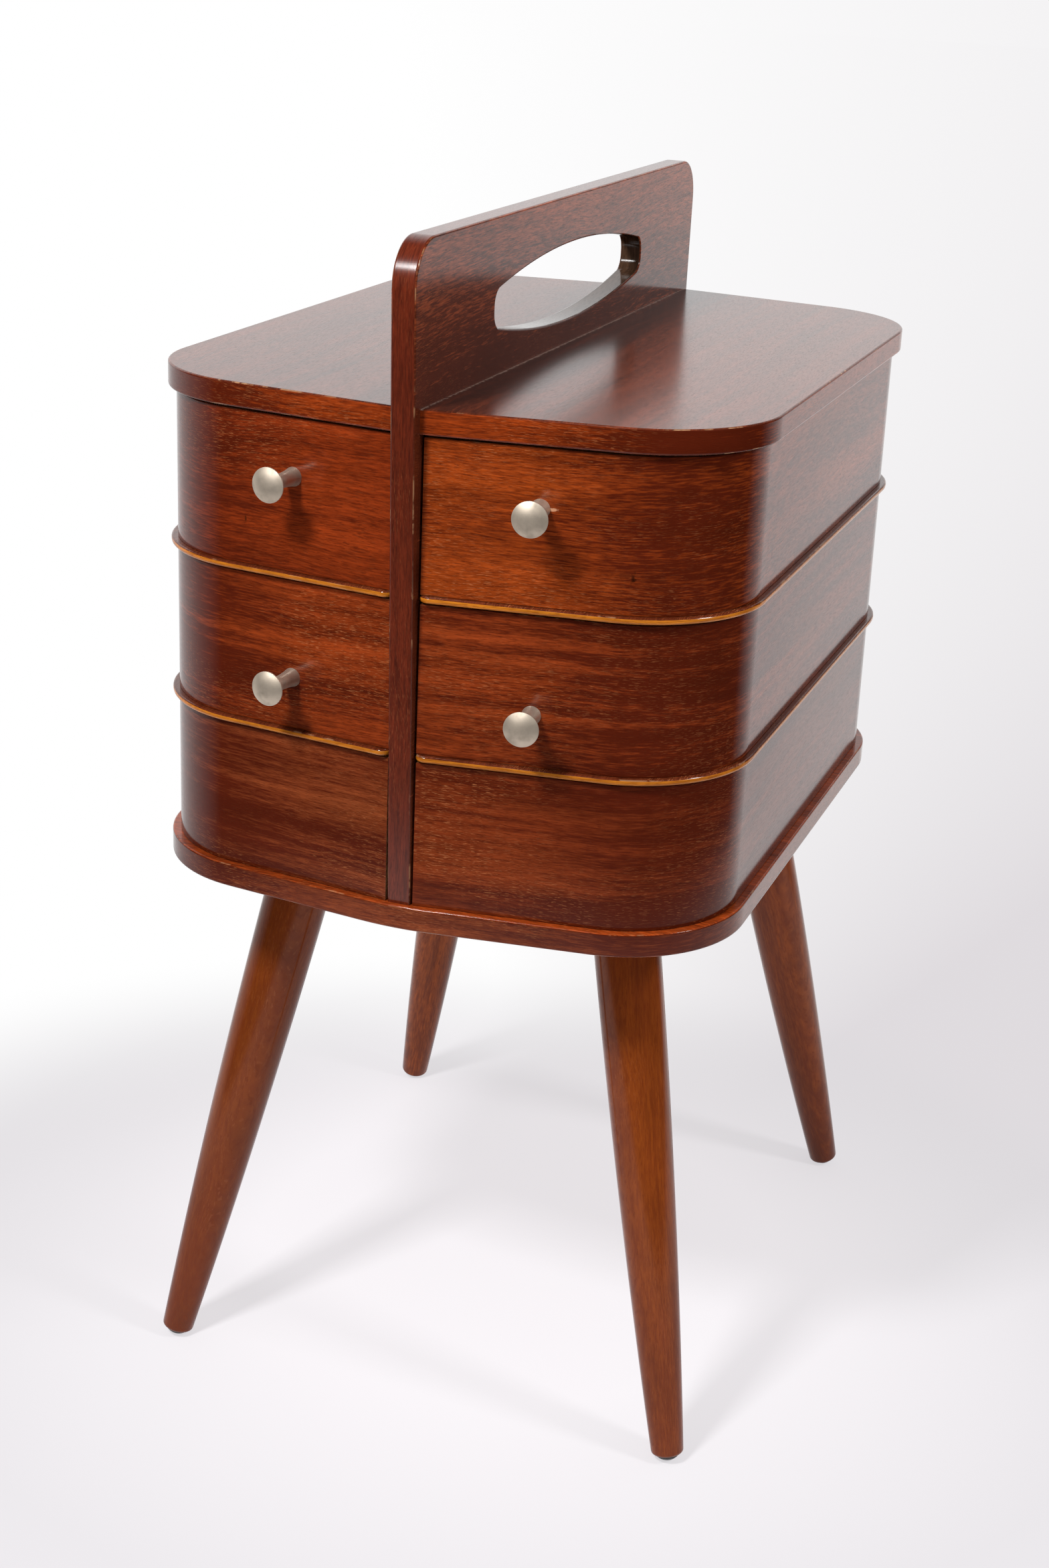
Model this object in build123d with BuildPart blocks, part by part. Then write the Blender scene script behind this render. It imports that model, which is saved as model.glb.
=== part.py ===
from build123d import *
from math import cos, radians, tan
import os

os.makedirs("parts", exist_ok=True)

# Sewing box on four splayed legs. A thin centre panel, cut through as a handle, stands on
# the base board. On each side of it lie three bentwood trays under a fixed lid. The upper
# and the middle tray swing out sideways about a steel rod near the back of the panel; the
# lowest is glued to the base. Millimetres, +Z up, X across the front, front towards -Y,
# origin on the floor below the middle of the box.

SIDES = {"right": 1, "left": -1}
ENDS = {"front": -1, "rear": 1}

# Boards
base_thickness = 12.0
lid_thickness = 12.0
arris = 0.8  # the broken edge of every board
glue_gap = 0.05  # room for glue around a dowel, spigot, nail or fixed screw

# Plan of the trays: the ends fall away from the panel, the outer corners are bent round
end_slope = tan(radians(7.5))
end_cosine = cos(radians(7.5))
tray_half_width = 150.6
tray_half_depth = 203.0  # where the slanted ends would meet, over the panel
tray_corner_radius = 62.5
wall_thickness = 5.0
wall_height = 74.6
floor_thickness = 3.0
floor_overhang = 3.3
running_gap = 1.2  # between one tier and the next, set by the washers on the rod
wall_gap = 1.2  # between the panel and the inner walls
floor_gap = 0.6  # between the panel and the tray floors, kept while a tray swings
floor_front_radius = 5.0

# Lids and base board
lid_side_overhang = 4.4
lid_end_overhang = 2.5
base_overhang = 4.3
base_apex_radius = 150.0

# Centre panel and its hand hole
panel_thickness = 12.0
panel_rise = 76.0  # above the lids
panel_foot_length = 405.4
panel_top_length = 428.6
panel_corner_radius = 22.0
hand_hole_length = 228.0
hand_hole_height = 37.5
hand_hole_end_height = 17.0
hand_hole_end_radius = 8.0
hand_hole_drop = 44.0  # from the top edge down to the hole's middle

# Swing rods
rod_radius = 3.0
rod_clearance = 0.05  # radial, in the pivot blocks
rod_floor_clearance = 0.5  # radial, in the thin tray floors
rod_lid_depth = 8.0
rod_inset = 16.0  # from the outside of the back wall, and the round of that corner
post_edge = 11.0  # from the rod's axis to the free faces of a pivot block
post_rebate = 8.0  # lap of the bent wall and the inner board on the block
washer_radius = 8.0

# Knobs
knob_head_radius = 8.5
knob_foot_radius = 4.7
knob_waist_radius = 3.6
knob_neck_radius = 4.0  # where the stem opens into the head
knob_waist_height = 10.0  # of the thinnest place, above the wall
knob_reach = 24.0
knob_dome = 2.4
knob_rim = 0.6
knob_bell = 4.2  # height over which the stem opens into the head
knob_x = 62.0
knob_height = {"upper": 46.5, "middle": 26.0}  # above the tray's floor
knob_screw_radius = 2.0
knob_screw_depth = 11.0  # into the knob
knob_screw_head_radius = 4.0
knob_screw_head_height = 2.4

# Legs, each on a slanted block under the base
leg_height = 296.0  # floor to the underside of the base
leg_side_inset = 63.1  # top of the leg's axis, in from the outside of the trays
leg_end_inset = {"front": 89.0, "rear": 81.0}  # the same, from where the slanted ends would meet
leg_side_splay = 59.0  # foot of the axis, out from its top
leg_end_splay = {"front": 50.7, "rear": 60.1}
leg_top_radius = 17.4
leg_middle_radius = 14.8
leg_foot_radius = 8.7
leg_end_round = 2.2
spigot_radius = 8.0
spigot_length = 12.0
block_width = 58.0
block_corner_radius = 8.0
block_thickness = 17.0  # on the leg's axis
block_screw_spread = 21.0
block_screw_radius = 1.75
block_screw_head_radius = 3.5
block_screw_length = 24.0

# Glides under the feet
glide_radius = 6.0
glide_rim = 1.0
glide_dome_radius = 8.0
glide_wear = 0.2  # flat worn on the dome where it meets the floor
glide_nail_radius = 1.1
glide_nail_length = 12.0

# Hidden fixings
dowel_radius = 3.0
dowel_length = 34.0
dowel_y = (-150.0, -50.0, 50.0, 150.0)
panel_screw_radius = 2.0
panel_screw_head_radius = 4.0
panel_screw_length = 38.0
panel_screw_y = (-165.0, -55.0, 55.0, 165.0)

# Heights and places that follow from the sizes above
base_top = leg_height + base_thickness
tier_pitch = floor_thickness + wall_height + running_gap
floor_level = {
    "middle": base_top + wall_height + running_gap,
    "upper": base_top + wall_height + running_gap + tier_pitch,
}
lid_bottom = floor_level["upper"] + tier_pitch
lid_top = lid_bottom + lid_thickness
panel_top = lid_top + panel_rise
panel_face = panel_thickness / 2
wall_inner_x = panel_face + wall_gap
floor_swing_radius = rod_inset + floor_overhang
rod_x = panel_face + floor_gap + floor_swing_radius
rod_y = tray_half_depth - rod_x * end_slope - rod_inset / end_cosine
rod_hole_radius = rod_radius + rod_clearance
leg_top_x = tray_half_width - leg_side_inset
leg_foot_x = leg_top_x + leg_side_splay
leg_top_y = {end: tray_half_depth - inset for end, inset in leg_end_inset.items()}
leg_foot_y = {end: leg_top_y[end] + splay for end, splay in leg_end_splay.items()}


def half_plan(inner_x, half_width, half_depth, corner_radius, inner_radii=(0, 0)):
    """One side of the box in plan. inner_radii are the corners at the panel, front and back."""
    front_radius, back_radius = inner_radii
    with BuildSketch() as plan:
        with BuildLine():
            FilletPolyline(
                (inner_x, inner_x * end_slope - half_depth),
                (half_width, half_width * end_slope - half_depth),
                (half_width, half_depth - half_width * end_slope),
                (inner_x, half_depth - inner_x * end_slope),
                radius=(front_radius, corner_radius, corner_radius, back_radius),
                close=True,
            )
        make_face()
    return plan.sketch


def grown_tray_plan(growth, inner_x, inner_radii=(0, 0)):
    """The tray's plan moved outwards by growth at its ends and its outer side."""
    return half_plan(
        inner_x,
        tray_half_width + growth,
        tray_half_depth + growth / end_cosine,
        tray_corner_radius + growth,
        inner_radii,
    )


def save(piece, name):
    """Labels a finished piece and writes it to its own file."""
    piece.part.label = name
    export_step(piece.part, f"parts/{name}.step")


def on_side(plan, sign):
    """The plan of the right-hand side, or its mirror image for the left."""
    return plan if sign > 0 else mirror(plan, about=Plane.YZ)


wall_plan = grown_tray_plan(0, wall_inner_x, (0, rod_inset))
cavity_plan = grown_tray_plan(-wall_thickness, wall_inner_x)
floor_plan = grown_tray_plan(floor_overhang, panel_face + floor_gap,
                             (floor_front_radius, floor_swing_radius))
lid_plan = half_plan(
    panel_face,
    tray_half_width + lid_side_overhang,
    tray_half_depth + lid_end_overhang / end_cosine,
    tray_corner_radius + lid_end_overhang,
)

# Base board: one board under both sides, bored for the rods and drilled for its screws
base_half_width = tray_half_width + base_overhang
base_half_depth = tray_half_depth + base_overhang / end_cosine
base_corner_radius = tray_corner_radius + base_overhang
base_corner_y = base_half_depth - base_half_width * end_slope
leg_mounts = {
    f"{end}_{side}": (
        Vector(x_sign * leg_top_x, y_sign * leg_top_y[end], leg_height),
        Vector(x_sign * leg_foot_x, y_sign * leg_foot_y[end], 0),
    )
    for end, y_sign in ENDS.items()
    for side, x_sign in SIDES.items()
}


def leg_plane(corner):
    """Plane on the underside of the base with Z down the leg and X level, across the splay."""
    mount, foot = leg_mounts[corner]
    axis = (foot - mount).normalized()
    return Plane(origin=mount, x_dir=axis.cross(Vector(0, 0, 1)).normalized(), z_dir=axis)


def block_face(corner):
    """Plane of the block's lower face, where the leg's shoulder seats."""
    return leg_plane(corner).offset(block_thickness)


with BuildPart() as base_board:
    with BuildSketch(Plane.XY.offset(leg_height)):
        with BuildLine():
            FilletPolyline(
                (0, -base_half_depth),
                (base_half_width, -base_corner_y),
                (base_half_width, base_corner_y),
                (0, base_half_depth),
                (-base_half_width, base_corner_y),
                (-base_half_width, -base_corner_y),
                radius=(base_apex_radius, base_corner_radius, base_corner_radius) * 2,
                close=True,
            )
        make_face()
    extrude(amount=base_thickness)
    chamfer(base_board.faces().sort_by(Axis.Z)[-1].edges(), arris)
    chamfer(base_board.faces().sort_by(Axis.Z)[0].edges(), arris)
    with Locations((rod_x, rod_y, base_top), (-rod_x, rod_y, base_top)):
        Hole(rod_hole_radius)
    with Locations(Plane.XY.offset(leg_height) * Rotation(180, 0, 0)):
        with Locations([(0, -y) for y in panel_screw_y]):
            CounterSinkHole(panel_screw_radius + glue_gap, panel_screw_head_radius)
    for corner in leg_mounts:
        with Locations(block_face(corner)):
            with Locations((block_screw_spread, 0), (-block_screw_spread, 0)):
                Cylinder(
                    block_screw_radius + glue_gap,
                    block_screw_length + glue_gap,
                    align=(Align.CENTER, Align.CENTER, Align.MAX),
                    mode=Mode.SUBTRACT,
                )
save(base_board, "base_board")

# Centre panel: a board on edge, a little longer at the top, with a lens-shaped hand hole
hole_middle = panel_top - hand_hole_drop
with BuildPart() as centre_panel:
    with BuildSketch(Plane.YZ):
        with BuildLine():
            FilletPolyline(
                (-panel_foot_length / 2, base_top),
                (panel_foot_length / 2, base_top),
                (panel_top_length / 2, panel_top),
                (-panel_top_length / 2, panel_top),
                radius=(0, 0, panel_corner_radius, panel_corner_radius),
                close=True,
            )
        make_face()
    extrude(amount=panel_face, both=True)
    upright_edges = centre_panel.edges().filter_by(
        lambda edge: abs(edge.center().X) > panel_face / 2 and edge.center().Z > base_top + arris
    )
    chamfer(upright_edges, arris)
    with BuildSketch(Plane.YZ.offset(-panel_face)) as hand_hole:
        with BuildLine():
            half_length = hand_hole_length / 2
            half_end = hand_hole_end_height / 2
            ThreePointArc(
                (-half_length, hole_middle - half_end),
                (0, hole_middle - hand_hole_height / 2),
                (half_length, hole_middle - half_end),
            )
            Line((half_length, hole_middle - half_end), (half_length, hole_middle + half_end))
            ThreePointArc(
                (half_length, hole_middle + half_end),
                (0, hole_middle + hand_hole_height / 2),
                (-half_length, hole_middle + half_end),
            )
            Line((-half_length, hole_middle + half_end), (-half_length, hole_middle - half_end))
        make_face()
        fillet(hand_hole.vertices(), hand_hole_end_radius)
    extrude(amount=panel_thickness, mode=Mode.SUBTRACT)
    hole_edges = centre_panel.edges().filter_by(
        lambda edge: abs(edge.center().X) > panel_face - arris / 2
        and abs(edge.center().Y) <= half_length
        and abs(edge.center().Z - hole_middle) <= hand_hole_height / 2
    )
    chamfer(hole_edges, arris)
    for y in dowel_y:
        with Locations(Plane.YZ * Location((y, (lid_bottom + lid_top) / 2, 0))):
            Cylinder(dowel_radius + glue_gap, panel_thickness, mode=Mode.SUBTRACT)
    for y in panel_screw_y:
        with Locations((0, y, leg_height)):
            Cylinder(
                panel_screw_radius + glue_gap,
                panel_screw_length + glue_gap,
                align=(Align.CENTER, Align.CENTER, Align.MIN),
                mode=Mode.SUBTRACT,
            )
save(centre_panel, "centre_panel")

# Lids: one board on each side, butted against the panel, dowelled and glued to it
dowel_reach = dowel_length / 2
for side, sign in SIDES.items():
    with BuildPart() as lid:
        with BuildSketch(Plane.XY.offset(lid_bottom)):
            add(on_side(lid_plan, sign))
        extrude(amount=lid_thickness)
        rim = lid.faces().sort_by(Axis.Z)[-1].edges() + lid.faces().sort_by(Axis.Z)[0].edges()
        chamfer(rim.filter_by(lambda edge: abs(edge.center().X) > panel_face + arris), arris)
        with Locations((sign * rod_x, rod_y, lid_bottom)):
            Cylinder(
                rod_hole_radius,
                rod_lid_depth,
                align=(Align.CENTER, Align.CENTER, Align.MIN),
                mode=Mode.SUBTRACT,
            )
        for y in dowel_y:
            with Locations(Plane.YZ * Location((y, (lid_bottom + lid_top) / 2, 0))):
                Cylinder(dowel_radius + glue_gap, dowel_length + 2 * glue_gap, mode=Mode.SUBTRACT)
    save(lid, f"lid_{side}")

# Beech dowels that pass through the panel into both lids
with BuildPart() as lid_dowels:
    for y in dowel_y:
        with Locations(Plane.YZ * Location((y, (lid_bottom + lid_top) / 2, 0))):
            Cylinder(dowel_radius, dowel_length)
save(lid_dowels, "lid_dowels")

# Screws up through the base into the foot of the panel
panel_screw_head_height = panel_screw_head_radius - panel_screw_radius
with BuildPart() as panel_screws:
    for y in panel_screw_y:
        with Locations((0, y, leg_height)):
            Cylinder(
                panel_screw_radius,
                panel_screw_length,
                align=(Align.CENTER, Align.CENTER, Align.MIN),
            )
            Cone(
                panel_screw_head_radius - glue_gap,
                panel_screw_radius,
                panel_screw_head_height,
                align=(Align.CENTER, Align.CENTER, Align.MIN),
            )
save(panel_screws, "panel_screws")

# Walls of the six trays. The bent plywood runs round the front, the outer side and the
# back; a flat board closes the side towards the panel. Both end in rebates of the pivot
# block, a solid post with a round corner that turns on the rod.
wall_base = {
    "lower": base_top,
    "middle": floor_level["middle"] + floor_thickness,
    "upper": floor_level["upper"] + floor_thickness,
}
inner_board_end = rod_y - post_edge + post_rebate
bent_wall_end = rod_x + post_edge - post_rebate
inner_board_front = wall_thickness / end_cosine - tray_half_depth
inner_faces = (wall_inner_x, wall_inner_x + wall_thickness)
with BuildSketch() as inner_board_plan:
    with BuildLine():
        Polyline(
            (inner_faces[0], inner_board_front + inner_faces[0] * end_slope),
            (inner_faces[1], inner_board_front + inner_faces[1] * end_slope),
            (inner_faces[1], inner_board_end),
            (inner_faces[0], inner_board_end),
            close=True,
        )
    make_face()
with BuildSketch() as bent_wall_plan:
    add(wall_plan)
    add(cavity_plan, mode=Mode.SUBTRACT)
    add(inner_board_plan.sketch, mode=Mode.SUBTRACT)
    with Locations((bent_wall_end, 0)):
        Rectangle(
            bent_wall_end,
            tray_half_depth,
            align=(Align.MAX, Align.MIN),
            mode=Mode.SUBTRACT,
        )
with BuildSketch() as pivot_block_plan:
    add(wall_plan)
    with Locations((rod_x + post_edge, rod_y - post_edge)):
        Rectangle(
            rod_x + post_edge,
            rod_inset + post_edge,
            align=(Align.MAX, Align.MIN),
            mode=Mode.INTERSECT,
        )
    add(bent_wall_plan.sketch, mode=Mode.SUBTRACT)
    add(inner_board_plan.sketch, mode=Mode.SUBTRACT)


def knob_plane(sign, tier):
    """Plane on the outside of a tray's front wall at its knob, with Z out of the wall."""
    origin = (sign * knob_x, knob_x * end_slope - tray_half_depth,
              wall_base[tier] + knob_height[tier])
    return Plane(origin=origin, x_dir=(1, sign * end_slope, 0), z_dir=(sign * end_slope, -1, 0))


for side, sign in SIDES.items():
    for tier, level in wall_base.items():
        with BuildPart() as tray_wall:
            with BuildSketch(Plane.XY.offset(level)):
                add(on_side(bent_wall_plan.sketch, sign))
            extrude(amount=wall_height)
            if tier in knob_height:
                with Locations(knob_plane(sign, tier).offset(-wall_thickness / 2)):
                    Cylinder(knob_screw_radius + glue_gap, 2 * wall_thickness, mode=Mode.SUBTRACT)
        save(tray_wall, f"{tier}_tray_wall_{side}")

        with BuildPart() as inner_wall:
            with BuildSketch(Plane.XY.offset(level)):
                add(on_side(inner_board_plan.sketch, sign))
            extrude(amount=wall_height)
        save(inner_wall, f"{tier}_tray_inner_wall_{side}")

        with BuildPart() as pivot_block:
            with BuildSketch(Plane.XY.offset(level)):
                add(on_side(pivot_block_plan.sketch, sign))
            extrude(amount=wall_height)
            with Locations((sign * rod_x, rod_y, level + wall_height)):
                Hole(rod_hole_radius)
        save(pivot_block, f"{tier}_pivot_block_{side}")

# Floors of the four swinging trays: thin plywood that stands out all round as a bead
for side, sign in SIDES.items():
    for tier, level in floor_level.items():
        with BuildPart() as tray_floor:
            with BuildSketch(Plane.XY.offset(level)):
                add(on_side(floor_plan, sign))
            extrude(amount=floor_thickness)
            chamfer(tray_floor.faces().sort_by(Axis.Z)[-1].edges(), arris)
            chamfer(tray_floor.faces().sort_by(Axis.Z)[0].edges(), arris)
            with Locations((sign * rod_x, rod_y, level + floor_thickness)):
                Hole(rod_radius + rod_floor_clearance)
        save(tray_floor, f"{tier}_tray_floor_{side}")

# Rods and the washers that carry the trays and keep the running gap
washer_levels = [level - running_gap for level in (*floor_level.values(), lid_bottom)]
for side, sign in SIDES.items():
    with BuildPart() as pivot_rod:
        with Locations((sign * rod_x, rod_y, leg_height)):
            Cylinder(
                rod_radius,
                lid_bottom + rod_lid_depth - glue_gap - leg_height,
                align=(Align.CENTER, Align.CENTER, Align.MIN),
            )
    save(pivot_rod, f"pivot_rod_{side}")

    with BuildPart() as washers:
        for level in washer_levels:
            with BuildSketch(Plane.XY.offset(level)):
                with Locations((sign * rod_x, rod_y)):
                    Circle(washer_radius)
                    Circle(rod_hole_radius, mode=Mode.SUBTRACT)
            extrude(amount=running_gap)
    save(washers, f"rod_washers_{side}")

# Knobs: turned metal, a shallow dome on a waisted stem, held by a screw from inside
head_back = knob_reach - knob_dome - knob_rim
knob_dome_radius = (knob_head_radius**2 + knob_dome**2) / (2 * knob_dome)
for side, sign in SIDES.items():
    for tier in knob_height:
        plane = knob_plane(sign, tier)
        profile_plane = Plane(origin=plane.origin, x_dir=plane.x_dir, z_dir=-plane.y_dir)
        with BuildPart() as knob:
            with BuildSketch(profile_plane):
                with BuildLine():
                    Line((0, 0), (knob_foot_radius, 0))
                    ThreePointArc(
                        (knob_foot_radius, 0),
                        (knob_waist_radius, knob_waist_height),
                        (knob_neck_radius, head_back - knob_bell),
                    )
                    Line((knob_neck_radius, head_back - knob_bell), (knob_head_radius, head_back))
                    Line((knob_head_radius, head_back), (knob_head_radius, head_back + knob_rim))
                    RadiusArc(
                        (knob_head_radius, head_back + knob_rim),
                        (0, knob_reach),
                        -knob_dome_radius,
                    )
                    Line((0, knob_reach), (0, 0))
                make_face()
            revolve(axis=Axis(plane.origin, plane.z_dir))
            with Locations(plane):
                Cylinder(
                    knob_screw_radius + glue_gap,
                    knob_screw_depth + glue_gap,
                    align=(Align.CENTER, Align.CENTER, Align.MIN),
                    mode=Mode.SUBTRACT,
                )
        save(knob, f"{tier}_knob_{side}")

        with BuildPart() as knob_screw:
            with Locations(plane):
                Cylinder(
                    knob_screw_radius,
                    knob_screw_depth,
                    align=(Align.CENTER, Align.CENTER, Align.MIN),
                )
                Cylinder(
                    knob_screw_radius,
                    wall_thickness,
                    align=(Align.CENTER, Align.CENTER, Align.MAX),
                )
            with Locations(plane.offset(-wall_thickness)):
                Cylinder(
                    knob_screw_head_radius,
                    knob_screw_head_height,
                    align=(Align.CENTER, Align.CENTER, Align.MAX),
                )
        save(knob_screw, f"{tier}_knob_screw_{side}")

# Legs: turned, swelling a little between a wide top and a narrow rounded foot. Each hangs
# from a block whose lower face is cut square to the leg.
glide_cap_height = glide_dome_radius - (glide_dome_radius**2 - glide_radius**2) ** 0.5
for corner, (mount, foot) in leg_mounts.items():
    plane = leg_plane(corner)
    axis_line = Axis(plane.origin, plane.z_dir)
    # Distances down the leg's axis from the underside of the base
    dome_centre = (leg_height - glide_dome_radius + glide_wear) / -plane.z_dir.Z
    glide_top = dome_centre + glide_dome_radius - glide_cap_height - glide_rim
    profile_plane = Plane(origin=plane.origin, x_dir=plane.x_dir, z_dir=-plane.y_dir)

    with BuildPart() as leg:
        with BuildSketch(profile_plane):
            with BuildLine():
                shoulder = block_thickness
                Polyline(
                    (0, glide_top),
                    (0, shoulder - spigot_length),
                    (spigot_radius, shoulder - spigot_length),
                    (spigot_radius, shoulder),
                    (leg_top_radius, shoulder),
                )
                ThreePointArc(
                    (leg_top_radius, shoulder),
                    (leg_middle_radius, (shoulder + glide_top) / 2),
                    (leg_foot_radius, glide_top - leg_end_round),
                )
                RadiusArc(
                    (leg_foot_radius, glide_top - leg_end_round),
                    (leg_foot_radius - leg_end_round, glide_top),
                    -leg_end_round,
                )
                Line((leg_foot_radius - leg_end_round, glide_top), (0, glide_top))
            make_face()
        revolve(axis=axis_line)
        with Locations(plane.offset(glide_top)):
            Cylinder(
                glide_nail_radius + glue_gap,
                glide_nail_length + glue_gap,
                align=(Align.CENTER, Align.CENTER, Align.MAX),
                mode=Mode.SUBTRACT,
            )
    save(leg, f"leg_{corner}")

    with BuildPart() as leg_block:
        with BuildSketch(Plane.XY.offset(leg_height)):
            with Locations((mount.X, mount.Y)):
                RectangleRounded(block_width, block_width, block_corner_radius)
        extrude(amount=-block_thickness - block_width)
        split(bisect_by=block_face(corner), keep=Keep.BOTTOM)
        with Locations(block_face(corner)):
            Cylinder(
                spigot_radius + glue_gap,
                spigot_length + glue_gap,
                align=(Align.CENTER, Align.CENTER, Align.MAX),
                mode=Mode.SUBTRACT,
            )
        with Locations(block_face(corner)):
            with Locations((block_screw_spread, 0), (-block_screw_spread, 0)):
                CounterSinkHole(block_screw_radius + glue_gap, block_screw_head_radius)
    save(leg_block, f"leg_block_{corner}")

    with BuildPart() as glide:
        with BuildSketch(profile_plane):
            with BuildLine():
                Polyline(
                    (0, dome_centre + glide_dome_radius),
                    (0, glide_top - glide_nail_length),
                    (glide_nail_radius, glide_top - glide_nail_length),
                    (glide_nail_radius, glide_top),
                    (glide_radius, glide_top),
                    (glide_radius, glide_top + glide_rim),
                )
                RadiusArc(
                    (glide_radius, glide_top + glide_rim),
                    (0, dome_centre + glide_dome_radius),
                    -glide_dome_radius,
                )
            make_face()
        revolve(axis=axis_line)
        split(bisect_by=Plane.XY, keep=Keep.TOP)
    save(glide, f"glide_{corner}")

# Two screws hold each leg block to the base
block_screw_head_height = block_screw_head_radius - block_screw_radius
with BuildPart() as leg_block_screws:
    for corner in leg_mounts:
        with Locations(block_face(corner)):
            with Locations((block_screw_spread, 0), (-block_screw_spread, 0)):
                Cylinder(
                    block_screw_radius,
                    block_screw_length,
                    align=(Align.CENTER, Align.CENTER, Align.MAX),
                )
                Cone(
                    block_screw_radius,
                    block_screw_head_radius - glue_gap,
                    block_screw_head_height,
                    align=(Align.CENTER, Align.CENTER, Align.MAX),
                )
save(leg_block_screws, "leg_block_screws")
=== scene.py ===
from math import atan2, cos, pi, radians, sin, tan

import bmesh
import bpy
from mathutils import Matrix, Quaternion, Vector


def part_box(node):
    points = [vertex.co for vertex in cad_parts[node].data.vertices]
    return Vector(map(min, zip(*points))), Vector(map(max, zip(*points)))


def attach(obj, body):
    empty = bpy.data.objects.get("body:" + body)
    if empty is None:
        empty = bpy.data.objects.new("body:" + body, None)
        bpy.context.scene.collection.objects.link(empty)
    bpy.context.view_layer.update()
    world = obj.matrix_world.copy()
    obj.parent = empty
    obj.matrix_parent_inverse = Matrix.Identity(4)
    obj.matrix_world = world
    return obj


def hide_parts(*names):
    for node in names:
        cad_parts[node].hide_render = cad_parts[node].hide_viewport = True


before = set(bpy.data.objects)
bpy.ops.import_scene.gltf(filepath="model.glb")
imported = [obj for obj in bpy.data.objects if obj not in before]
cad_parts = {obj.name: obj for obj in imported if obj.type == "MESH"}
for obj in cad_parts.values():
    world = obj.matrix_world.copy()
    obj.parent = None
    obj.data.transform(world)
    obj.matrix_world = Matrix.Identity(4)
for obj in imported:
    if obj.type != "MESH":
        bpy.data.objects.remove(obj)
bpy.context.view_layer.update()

# Base board: one board under both sides of the box, veneered on its faces and lipped with a
# band of the same red-brown veneer all round. The corners are sawn round, the ends run to a
# soft point, and the arrises are broken by hand before the lacquer.
UP = Vector((0, 0, 1))
end_slope = tan(radians(7.5))
end_cosine = cos(radians(7.5))
tray_half_width = 0.1506
tray_half_depth = 0.203
tray_corner_radius = 0.0625
base_overhang = 0.0043
base_apex_radius = 0.150
base_arris = 0.0009
base_bottom, base_top = (corner[2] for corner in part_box("base_board"))
round_step = radians(4)
round_length = 0.008
flat_margin = 0.0008


def rounded_face(bm, corners, radii, normal=UP):
    """Draws a flat outline and fills it. Each corner is rounded by a spin about its centre,
    and a second point just before and after the round keeps the straights' shading flat."""
    stretches = []
    for index, corner in enumerate(corners):
        before = (corner - corners[index - 1]).normalized()
        after = (corners[(index + 1) % len(corners)] - corner).normalized()
        turn = atan2(before.cross(after).dot(normal), before.dot(after))
        tangent = abs(radii[index] * tan(turn / 2))
        first = start = bm.verts.new(corner - before * tangent)
        last = start
        if radii[index]:
            first = bm.verts.new(start.co - before * flat_margin)
            bm.edges.new((first, start))
            inward = normal.cross(before) * (1 if turn > 0 else -1)
            spun = bmesh.ops.spin(
                bm,
                geom=[start],
                cent=start.co + inward * radii[index],
                axis=normal,
                angle=turn,
                steps=round(abs(turn) * max(1 / round_step, radii[index] / round_length)) + 1,
                use_duplicate=False,
            )
            end = next(part for part in spun["geom_last"] if isinstance(part, bmesh.types.BMVert))
            last = bm.verts.new(end.co + after * flat_margin)
            bm.edges.new((end, last))
        stretches.append((first, last))
    for (_, last), (first, _) in zip(stretches, stretches[1:] + stretches[:1]):
        bm.edges.new((last, first))
    outline = [edge for edge in bm.edges if not edge.link_faces]
    return bmesh.ops.edgeloop_fill(bm, edges=outline)["faces"][0]


def thicken(bm, faces, depth):
    """Pulls flat faces out into a board of that depth, given as a vector."""
    pulled = bmesh.ops.extrude_face_region(bm, geom=faces)["geom"]
    moved = [part for part in pulled if isinstance(part, bmesh.types.BMVert)]
    bmesh.ops.translate(bm, verts=moved, vec=depth)
    bmesh.ops.recalc_face_normals(bm, faces=bm.faces)


def soften(bm, edges, radius, segments=3):
    """Rounds edges over and marks the crest of each round as a place that wears."""
    wear = bm.verts.layers.float.get("wear") or bm.verts.layers.float.new("wear")
    rounded = bmesh.ops.bevel(
        bm,
        geom=edges,
        offset=radius,
        segments=segments,
        profile=0.5,
        affect="EDGES",
        material=-1,
    )
    band = set(rounded["faces"])
    for edge in {edge for face in band for edge in face.edges}:
        edge.smooth = all(face in band for face in edge.link_faces)
    for vertex in {vertex for face in band for vertex in face.verts}:
        vertex[wear] = float(all(face in band for face in vertex.link_faces))


def rim_edges(bm, axis=2):
    """The sharp edges that lie square to an axis, round the faces of a board."""
    return [
        edge
        for edge in bm.edges
        if edge.calc_face_angle(0) > radians(60)
        and abs(edge.verts[0].co[axis] - edge.verts[1].co[axis]) < 1e-6
    ]


def lip_edges(bm):
    """Gives the edges of a flat board its second finish and its two faces the first."""
    for face in bm.faces:
        face.material_index = int(abs(face.normal.z) < 0.7)


def side_corners(sign, height, inner_x, half_width, half_depth):
    """Plan of one side of the box before its corners are rounded, front to back."""
    plan = (
        (inner_x, inner_x * end_slope - half_depth),
        (half_width, half_width * end_slope - half_depth),
        (half_width, half_depth - half_width * end_slope),
        (inner_x, half_depth - inner_x * end_slope),
    )
    return [Vector((sign * x, y, height)) for x, y in plan]


def new_piece(name, bm, *finishes):
    """Makes a finished mesh an object, smooth over its rounds and crisp at its edges."""
    for face in bm.faces:
        face.smooth = True
    for edge in bm.edges:
        if edge.calc_face_angle(pi) > radians(30):
            edge.smooth = False
    mesh = bpy.data.meshes.new(name)
    bm.to_mesh(mesh)
    bm.free()
    for finish in finishes:
        mesh.materials.append(finish)
    piece = bpy.data.objects.new(name, mesh)
    bpy.context.scene.collection.objects.link(piece)
    return piece


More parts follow.
